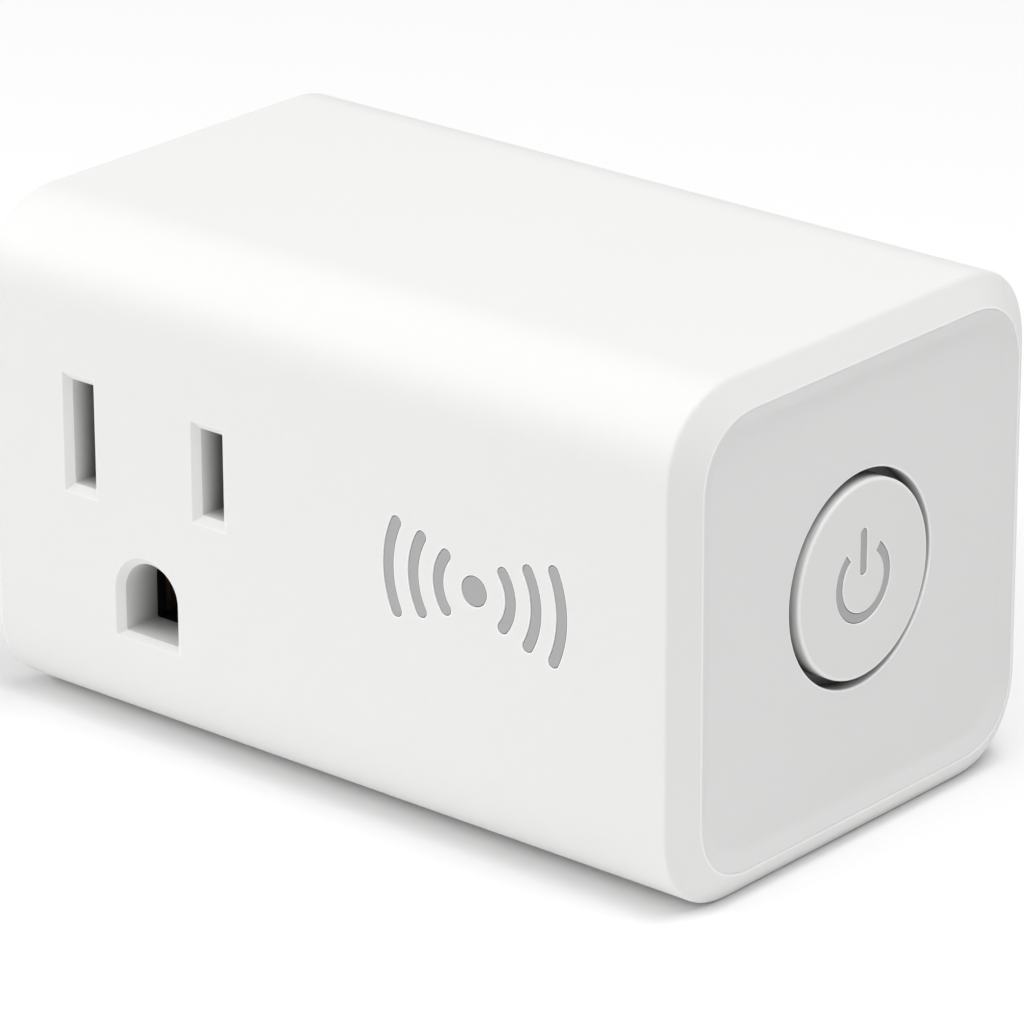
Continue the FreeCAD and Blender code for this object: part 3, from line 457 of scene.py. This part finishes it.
def cornerArc(inset, size, start, end, back, top):
    # one corner of the cross-section for every profile row, from angle start to end,
    # measured from straight along Y towards straight along Z
    c = caseShape
    t = np.linspace(0, 1, c["cornerSteps"])
    angle = start[:, None] + (end - start)[:, None] * t
    lift = 2 / c["power"]
    centreY = (wallY - inset - size) if back else (frontY + inset + size)
    centreZ = halfHeight - inset - size
    side = 1 if back else -1
    y = centreY[:, None] + side * size[:, None] * np.abs(np.cos(angle)) ** lift
    z = centreZ[:, None] + size[:, None] * np.abs(np.sin(angle)) ** lift
    return y, z * (1 if top else -1)


def seamAngle(inset, size, depth):
    # where the corner crosses the seam plane
    across = (-depth - (wallY - inset - size)) / size
    return np.arccos(across ** (caseShape["power"] / 2))


def sweep(skin, profile, y, z):
    x = np.repeat(profile[:, :1], y.shape[1], axis=1)
    addGrid(skin, np.stack([x, y, z], axis=2), loop=False, paintedLight=profile[:, -1:])


def capSeam(skin, profile, z, seamY):
    addPlate(skin, [np.stack([profile[:, 0], z[:, 0]], axis=1)], inXZ(seamY))


def buildCase(skin, back):
    right = endProfile()
    left = right[::-1] * [-1, 1, 1, 1]
    profile = np.vstack([right, left])
    inset, size = profile[:, 1], profile[:, 2]
    depth = caseShape["seamDepth"] - (caseShape["seamGap"] if back else 0)
    seam = seamAngle(inset, size, depth)
    quarter = np.full(len(profile), math.pi / 2)
    for top in (True, False):
        if back:
            y, z = cornerArc(inset, size, seam, quarter * 0, True, top)
        else:
            y1, z1 = cornerArc(inset, size, seam, quarter, True, top)
            y2, z2 = cornerArc(inset, size, quarter, quarter * 0, False, top)
            y, z = np.hstack([y1, y2]), np.hstack([z1, z2])
        around = np.r_[np.arange(len(profile)), 0]
        sweep(skin, profile[around], y[around], z[around])
        capSeam(skin, profile, z, -depth)
    for end in (right, left):
        flatZ = halfHeight - end[:, 1] - end[:, 2]
        flatY = (wallY - end[:, 1]) if back else (frontY + end[:, 1])
        y = np.repeat(flatY[:, None], 2, axis=1)
        sweep(skin, end, y, np.stack([flatZ, -flatZ], axis=1))


def facePlate(skin, y, holes):
    c = caseShape
    reachX = halfLength - c["plateMargin"]
    reachZ = halfHeight - c["corner"]
    edge = np.array([(-reachX, -reachZ), (reachX, -reachZ), (reachX, reachZ), (-reachX, reachZ)])
    addPlate(skin, [edge] + holes, inXZ(y))


# The receptacle openings, placed from the prongs, which stand straight behind them.

neutralLow, neutralHigh = spanOf("neutral_blade")
hotLow, hotHigh = spanOf("hot_blade")
pinLow, pinHigh = spanOf("ground_pin")
neutralX = (neutralLow[0] + neutralHigh[0]) / 2
hotX = (hotLow[0] + hotHigh[0]) / 2
outletX = (pinLow[0] + pinHigh[0]) / 2
slotZ = (neutralLow[2] + neutralHigh[2]) / 2
groundZ = (pinLow[2] + pinHigh[2]) / 2

# dark is the share of painted shade at the far end of the passages; the slot and ground falls are how
# far in the painted shade takes to deepen fully
opening = {
    "slotWidth": 2.1, "neutralHeight": 8.1, "hotHeight": 6.65, "bevel": 0.6, "bevelDepth": 0.5,
    "groundWidth": 5.2, "groundFloor": 2.45, "groundArch": 0.7, "groundFloorBevel": 0.4,
    "tunnel": 3.8, "margin": 0.95, "slotPaintedShadeFall": 3.0, "groundPaintedShadeFall": 5.6, "dark": 0.93,
    "padTop": 9.8, "padBottom": -11.9, "padHalf": 12.0,
}


def slotOutline(x, height):
    half = opening["slotWidth"] / 2
    return lambda growth: roundBox(x, slotZ, half + growth, height / 2 + growth, 0.05)


def groundOutline(growth):
    # an arch over a flat floor; the floor grows less than the sides do
    half = opening["groundWidth"] / 2 + growth
    archZ = groundZ + opening["groundArch"]
    share = opening["groundFloorBevel"] / opening["bevel"]
    floorZ = groundZ - opening["groundFloor"] - growth * share
    a = np.linspace(0, math.pi, 41)
    arch = np.stack([outletX + half * np.cos(a), archZ + half * np.sin(a)], axis=1)
    turn = np.linspace(0, math.pi / 2, 5)
    r = 0.12
    leftFoot = np.stack([outletX - half + r - r * np.cos(turn), floorZ + r - r * np.sin(turn)], 1)
    rightFoot = leftFoot[::-1] * [-1, 1] + [2 * outletX, 0]
    return np.vstack([arch, leftFoot, rightFoot])


def mouthLine(face, into, paintedShadeFall):
    # the bevelled mouth and the passage behind it, with a painted highlight on the mouth's edges and
    # painted shade deepening down the passage
    o = opening
    points = [(o["margin"], face), (o["bevel"], face), (0, face + into * o["bevelDepth"]),
              (0, face + into * o["tunnel"]), (0.35, face + into * o["tunnel"])]
    line = roundedLine(points, (0.05, 0.04, 0.05), 4, (0.35, 0.25, 0))
    return paintedShadeLine(line, face + into * o["bevelDepth"], into, paintedShadeFall, o["dark"])


# The front mark: a dot with waves on both sides, let into the face.

markLow, markHigh = spanOf("front_mark")
mark = {
    "dot": 1.15, "stroke": 0.95, "radii": (3.3, 5.6, 7.9), "angles": (38.0, 30.0, 25.0),
    "depth": 0.4, "margin": 0.16, "lip": 0.09, "sunk": 0.05, "gap": 0.05, "edge": 0.03,
}
markX = (markLow[0] + markHigh[0]) / 2
markZ = (markLow[2] + markHigh[2]) / 2


def markOutlines():
    outlines = [lambda growth: circle(markX, markZ, mark["dot"] + growth, 48)]
    for side in (0, 180):
        for radius, half in zip(mark["radii"], mark["angles"]):
            outlines.append(lambda growth, radius=radius, half=half, side=side: strokeArc(
                markX, markZ, radius, mark["stroke"] / 2 + growth, side - half, side + half, 28))
    return outlines


def pocketLine(face, depth, margin, lip):
    # a painted highlight on the pocket's lip, and painted shade on its walls
    points = [(margin, face), (0.0, face), (0.0, face + depth), (-0.2, face + depth)]
    line = roundedLine(points, (lip, 0.02), 4, (1.0, 0))
    return paintedShadeLine(line, face, 1, 0.05, 0.9)


def buildHousing():
    skin = newSkin()
    o = opening
    innerY = frontY + caseShape["wall"]
    padY = frontY + o["tunnel"]
    buildCase(skin, False)
    outlines = [slotOutline(neutralX, o["neutralHeight"]), slotOutline(hotX, o["hotHeight"]),
                groundOutline]
    for outline, paintedShadeFall in zip(outlines, (o["slotPaintedShadeFall"], o["slotPaintedShadeFall"], o["groundPaintedShadeFall"])):
        sleeveY(skin, outline, mouthLine(frontY, 1, paintedShadeFall))
    pockets = markOutlines()
    pocket = pocketLine(frontY, mark["depth"], mark["margin"], mark["lip"])
    for outline in pockets:
        sleeveY(skin, outline, pocket)
        addPlate(skin, [outline(-0.2)], inXZ(frontY + mark["depth"]))
    facePlate(skin, frontY, [outline(o["margin"]) for outline in outlines] +
              [outline(mark["margin"]) for outline in pockets])
    padMiddle = (o["padTop"] + o["padBottom"]) / 2
    padHalf = (o["padTop"] - o["padBottom"]) / 2
    pad = lambda growth: roundBox(outletX, padMiddle, o["padHalf"] + growth, padHalf + growth, 0.5)
    sleeveY(skin, pad, np.array([(0, innerY, 0), (0, padY, 0)]))
    facePlate(skin, innerY, [pad(0)])
    addPlate(skin, [pad(0)] + [outline(0.35) for outline in outlines], inXZ(padY))
    return makePiece("case_shell", skin, materials["caseWhite"], "case",
                     ["housing_shell"])


def buildBackCover():
    skin = newSkin()
    buildCase(skin, True)
    gap = 0.04
    blade = 1.52 / 2 + gap
    outlines = [
        lambda g: roundBox(neutralX, slotZ, blade + g, (neutralHigh[2] - neutralLow[2]) / 2 + gap + g,
                           0.06),
        lambda g: roundBox(hotX, slotZ, blade + g, (hotHigh[2] - hotLow[2]) / 2 + gap + g, 0.06),
        lambda g: circle(outletX, groundZ, 2.7 + gap + g, 72),
    ]
    wall = caseShape["wall"]
    points = [(0.5, wallY), (0.0, wallY), (0.0, wallY - wall), (0.4, wallY - wall)]
    line = roundedLine(points, (0.18, 0.05), 4)
    for outline in outlines:
        sleeveY(skin, outline, line)
    facePlate(skin, wallY, [outline(0.5) for outline in outlines])
    facePlate(skin, wallY - wall, [outline(0.4) for outline in outlines])
    return makePiece("wall_cover", skin, materials["caseWhite"], "case",
                     ["back_cover"])


def buildMark():
    skin = newSkin()
    top = frontY + mark["sunk"]
    bottom = frontY + mark["depth"] - mark["gap"]
    g = -mark["gap"]
    points = [(g - 0.2, top), (g, top), (g, bottom), (g - 0.2, bottom)]
    line = roundedLine(points, (mark["edge"], 0.02), 4)
    for outline in markOutlines():
        sleeveY(skin, outline, line)
        addPlate(skin, [outline(g - 0.2)], inXZ(top))
        addPlate(skin, [outline(g - 0.2)], inXZ(bottom))
    return makePiece("wave_mark", skin, materials["markGrey"], "case",
                     ["front_mark"])


buildHousing()
buildBackCover()
buildMark()
print("case made")


# End panels: a soft step down from the ridge to a flat floor, and a flange behind.

panel = {"seat": 0.01, "depth": 0.55, "slope": 1.25, "thickness": 1.6, "flangeOut": 0.41,
         "foot": 0.36}


def loopSection(inset, size, steps=20):
    # the whole cross-section at one inset, as a closed ring of (y, z)
    lift = 2 / caseShape["power"]
    a = np.linspace(0, math.pi / 2, steps)
    u, v = np.cos(a) ** lift, np.sin(a) ** lift
    halfDepth = (wallY - frontY) / 2 - inset - size
    flatZ = halfHeight - inset - size
    ys = np.concatenate([u, -u[::-1], -u, u[::-1]]) * size
    zs = np.concatenate([v, v[::-1], -v, -v[::-1]]) * size
    sideY = np.repeat([1, -1, -1, 1], steps) * halfDepth
    sideZ = np.repeat([1, 1, -1, -1], steps) * flatZ
    return np.stack([middleY + sideY + ys, sideZ + zs], axis=1)


def panelEdge(growth):
    # growth is measured outwards from the panel's own edge
    c = caseShape
    base = c["rimWidth"] + c["ridge"] + panel["seat"]
    size = c["rimCorner"] - c["ridge"] - panel["seat"]
    return loopSection(base - growth, size + growth * 0.75)


def panelBody(skin, side):
    p = panel
    rim = halfLength
    floor = rim - p["depth"]
    back = floor - p["thickness"]
    shoulder = rim - caseShape["lip"] - 0.04
    top = rim - 0.02
    points = [(-p["slope"] - 1.0, floor), (-p["slope"], floor), (-0.12, top), (0, top),
              (0, shoulder), (p["flangeOut"], shoulder), (p["flangeOut"], back), (-2.6, back)]
    line = roundedLine(points, (p["foot"], 0.05, 0.03, 0.03, 0.03, 0.03), 6)
    line[:, 1] *= side
    sleeveX(skin, panelEdge, line)
    return floor, back


# the last two entries set how deep and how strongly painted shade darkens the button's side and the
# hole's wall
button = {
    "radius": 7.35, "ringGap": 0.7, "proud": 0.25, "edge": 0.2, "flangeOverlap": 0.7,
    "running": 0.05, "bossWall": 1.3, "bossLength": 2.6, "lip": 0.12, "margin": 0.5,
    "side": 1.15, "face": 1.4, "flange": 1.2, "flangeSeat": 0.04, "paintedShadeFall": 1.5, "dark": 0.85,
}
buttonLow, buttonHigh = spanOf("power_button")
buttonY = (buttonLow[1] + buttonHigh[1]) / 2
buttonZ = (buttonLow[2] + buttonHigh[2]) / 2


def buildButtonPanel():
    skin = newSkin()
    floor, back = panelBody(skin, 1)
    b = button
    hole = b["radius"] + b["ringGap"]
    bore = hole + b["flangeOverlap"] + b["running"]
    outer = bore + b["bossWall"]
    bossEnd = back - b["bossLength"]
    points = [(hole + b["margin"], floor), (hole, floor), (hole, back), (bore, back),
              (bore, bossEnd), (outer, bossEnd), (outer, back), (outer + 0.3, back)]
    # a painted highlight on the hole's lip and painted shade down its wall
    line = roundedLine(points, (b["lip"], 0.05, 0.05, 0.05, 0.05, 0.05), 4,
                       (0.9, 0, 0, 0, 0, 0))
    spinX(skin, paintedShadeLine(line, floor, -1, b["paintedShadeFall"], b["dark"]), buttonY, buttonZ)
    addPlate(skin, [panelEdge(-panel["slope"] - 1.0),
                    circle(buttonY, buttonZ, hole + b["margin"], 128)], inYZ(floor))
    addPlate(skin, [panelEdge(-2.6), circle(buttonY, buttonZ, outer + 0.3, 128)], inYZ(back))
    return makePiece("button_panel", skin, materials["panelWhite"], "case",
                     ["button_end_panel"])


def buildPlainPanel():
    skin = newSkin()
    floor, back = panelBody(skin, -1)
    addPlate(skin, [panelEdge(-panel["slope"] - 1.0)], inYZ(-floor))
    addPlate(skin, [panelEdge(-2.6)], inYZ(-back))
    return makePiece("plain_panel", skin, materials["panelWhite"], "case",
                     ["plain_end_panel"])


# The button and the light guide that shows through its face.

symbol = {"radius": 2.72, "stroke": 0.76, "opening": 38.0, "low": 0.45, "high": 3.95,
          "ringZ": -0.1, "margin": 0.16, "lip": 0.07, "sunk": 0.06, "gap": 0.05}


def symbolOutlines():
    s = symbol
    half = s["stroke"] / 2
    ringZ = buttonZ + s["ringZ"]
    barMiddle = ringZ + (s["low"] + s["high"]) / 2
    barHalf = (s["high"] - s["low"]) / 2
    ring = lambda g: strokeArc(buttonY, ringZ, s["radius"], half + g,
                               90 + s["opening"] - 22 * g, 450 - s["opening"] + 22 * g, 72, True)
    bar = lambda g: roundBox(buttonY, barMiddle, half + g, barHalf + g, half + g - 1e-4, 9)
    return [ring, bar]


def buildButton():
    skin = newSkin()
    b = button
    s = symbol
    face = halfLength - panel["depth"] + b["proud"]
    flangeFront = halfLength - panel["depth"] - panel["thickness"] - b["flangeSeat"]
    flangeBack = flangeFront - b["flange"]
    inner = face - b["face"]
    flangeRadius = b["radius"] + b["ringGap"] + b["flangeOverlap"]
    pocket = b["radius"] - b["side"]
    points = [(b["radius"] - 0.9, face), (b["radius"], face), (b["radius"], flangeFront),
              (flangeRadius, flangeFront), (flangeRadius, flangeBack), (pocket, flangeBack),
              (pocket, inner), (pocket - 0.5, inner)]
    # a painted highlight on the button's edge and painted shade down its side
    line = roundedLine(points, (b["edge"], 0.06, 0.1, 0.1, 0.1, 0.1), 8,
                       (0.55, 0, 0, 0, 0, 0))
    spinX(skin, paintedShadeLine(line, face - b["edge"], -1, b["paintedShadeFall"], b["dark"]), buttonY,
          buttonZ)
    outlines = symbolOutlines()
    # a painted highlight on the symbol pocket's lip and painted shade on its walls
    line = roundedLine([(s["margin"], face), (0, face), (0, inner), (0.1, inner)],
                       (s["lip"], 0.03), 4, (0.9, 0))
    line = paintedShadeLine(line, face - s["lip"], -1, 0.08, 0.8)
    for outline in outlines:
        sleeveX(skin, outline, line)
    addPlate(skin, [circle(buttonY, buttonZ, b["radius"] - 0.9, 128)] +
             [outline(s["margin"]) for outline in outlines], inYZ(face))
    addPlate(skin, [circle(buttonY, buttonZ, pocket - 0.5, 128)] +
             [outline(0.1) for outline in outlines], inYZ(inner))
    return makePiece("power_button_cap", skin, materials["buttonWhite"], "button",
                     ["power_button"])


def buildGuide():
    skin = newSkin()
    s = symbol
    low, high = spanOf("button_light_guide")
    face = halfLength - panel["depth"] + button["proud"]
    discFront = face - button["face"] - s["gap"]
    discBack = discFront - 1.3
    radius = (high[2] - low[2]) / 2
    stem = 1.5
    points = [(radius - 0.6, discFront), (radius, discFront), (radius, discBack),
              (stem + 0.4, discBack), (stem, discBack), (stem, low[0]), (stem - 0.5, low[0])]
    spinX(skin, roundedLine(points, (0.1, 0.1, 0.05, 0.1, 0.15), 4), buttonY, buttonZ)
    g = -s["gap"]
    top = high[0]
    outlines = symbolOutlines()
    line = roundedLine([(g - 0.15, top), (g, top), (g, discFront), (g + 0.1, discFront)],
                       (0.04, 0.03), 4)
    for outline in outlines:
        sleeveX(skin, outline, line)
        addPlate(skin, [outline(g - 0.15)], inYZ(top))
    addPlate(skin, [circle(buttonY, buttonZ, radius - 0.6, 128)] +
             [outline(g + 0.1) for outline in outlines], inYZ(discFront))
    addPlate(skin, [circle(buttonY, buttonZ, stem - 0.5, 128)], inYZ(low[0]))
    return makePiece("symbol_guide", skin, materials["guideGrey"], "button",
                     ["button_light_guide"])


buildButtonPanel()
buildPlainPanel()
buildButton()
buildGuide()
print("panels and button made")


# Materials for the CAD nodes whose shapes stay.

nodeFinish = {
    "nickelProng": ["neutral_blade", "hot_blade", "ground_pin"],
    "blackMoulding": ["tact_switch_body", "tact_switch_plunger", "board_header",
                      "blade_carrier", "contact_carrier", "transformer_base"],
    "ledClear": ["status_leds"],
    "controlBoardGreen": ["control_board", "wireless_module"],
    "mainBoardGreen": ["main_board"],
    "tinShield": ["shield_can"],
    "copperStrap": ["neutral_strap", "ground_strap", "hot_inlet_strap", "hot_outlet_strap"],
    "contactBronze": ["neutral_contact", "hot_contact", "ground_contact"],
    "ferriteGrey": ["transformer_core"],
    "windingTape": ["transformer_winding"],
    "canSleeve": ["input_capacitor", "output_capacitor"],
    "filmBox": ["film_capacitor"],
    "varistorBlue": ["varistor"],
    "resistorGreen": ["fuse_resistor"],
    "chipBlack": ["rectifier", "converter_chip"],
    "relayCase": ["relay_cover"],
    "relayMoulding": ["relay_base", "relay_bobbin"],
    "relaySteel": ["relay_yoke", "relay_core", "relay_armature"],
    "coilWire": ["relay_coil"],
    "silverContact": ["relay_moving_contact", "relay_fixed_contact"],
    "caseWhite": ["housing_shell", "back_cover"],
    "panelWhite": ["button_end_panel", "plain_end_panel"],
    "markGrey": ["front_mark"],
    "buttonWhite": ["power_button"],
    "guideGrey": ["button_light_guide"],
}
for finish, names in nodeFinish.items():
    for name in names:
        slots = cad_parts[name].material_slots
        for place in slots:
            place.material = materials[finish]
print("node finishes set:", sum(len(names) for names in nodeFinish.values()))


# Floor, light and camera.

studio = {
    "floorSize": 3.0, "floorColor": (0.97, 0.97, 0.97, 1), "worldColor": (1, 1, 1, 1),
    "worldStrength": 0.33,
    "lights": {
        "frontTop": {"place": (0.0, -0.5, 0.87), "size": 0.5, "power": 0.95},
        "overhead": {"place": (0.1, 0.1, 1.0), "size": 0.5, "power": 3.0},
        "rightTop": {"place": (0.40, -0.1, 0.91), "size": 0.5, "power": 3.5},
        "leftSide": {"place": (-0.75, -0.55, 0.35), "size": 0.5, "power": 3.7},
    },
}


def floorMaterial():
    r = Recipe("floorPaper", Roughness=0.85)
    fleck = r.noise(900, 2.0)
    r.feed(Base_Color=r.between(fleck, (0.965, 0.965, 0.965, 1), studio["floorColor"]))
    return r.material


def buildFloor():
    half = studio["floorSize"] / 2
    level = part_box("housing_shell")[0].z
    points = [(-half, -half, level), (half, -half, level), (half, half, level),
              (-half, half, level)]
    mesh = bpy.data.meshes.new("floor")
    mesh.from_pydata(points, [], [(0, 1, 2, 3)])
    mesh.materials.append(floorMaterial())
    floor = bpy.data.objects.new("floor", mesh)
    bpy.context.scene.collection.objects.link(floor)


def aimed(direction):
    return Vector(direction).to_track_quat("-Z", "Y").to_euler()


def addLight(name, spec):
    light = bpy.data.lights.new(name, "AREA")
    light.size = spec["size"]
    light.energy = spec["power"]
    lamp = bpy.data.objects.new(name, light)
    lamp.location = spec["place"]
    lamp.rotation_euler = aimed(-Vector(spec["place"]))
    bpy.context.scene.collection.objects.link(lamp)


def setWorld():
    world = bpy.data.worlds.new("studio")
    world.use_nodes = True
    ground = world.node_tree.nodes["Background"]
    ground.inputs[0].default_value = studio["worldColor"]
    ground.inputs[1].default_value = studio["worldStrength"]
    bpy.context.scene.world = world


view = {
    "azimuth": 40.01, "elevation": 21.65, "roll": 0.0, "lens": 216.9,
    "shiftX": -0.0527, "shiftY": -0.0009,
    "sideways": -4.767, "down": -2.461, "away": 449.27,
}


def placeCamera():
    # the body's centre lies at (sideways, down, away) as the camera sees it
    az, el = math.radians(view["azimuth"]), math.radians(view["elevation"])
    right = Vector((math.cos(az), math.sin(az), 0))
    back = Vector((math.sin(az) * math.cos(el), -math.cos(az) * math.cos(el), math.sin(el)))
    up = back.cross(right)
    centre = Vector((0, middleY, 0)) * mm
    spot = centre - (right * view["sideways"] - up * view["down"] - back * view["away"]) * mm
    lens = bpy.data.cameras.new("camera")
    lens.lens = view["lens"]
    lens.sensor_width = 36
    lens.shift_x = view["shiftX"]
    lens.shift_y = view["shiftY"]
    lens.clip_start = 0.01
    camera = bpy.data.objects.new("camera", lens)
    camera.location = spot
    camera.rotation_euler = aimed(-back)
    bpy.context.scene.collection.objects.link(camera)
    bpy.context.scene.camera = camera


buildFloor()
setWorld()
for lightName, light in studio["lights"].items():
    addLight(lightName, light)
placeCamera()
bpy.context.scene.view_settings.view_transform = "Standard"
print("stage ready")
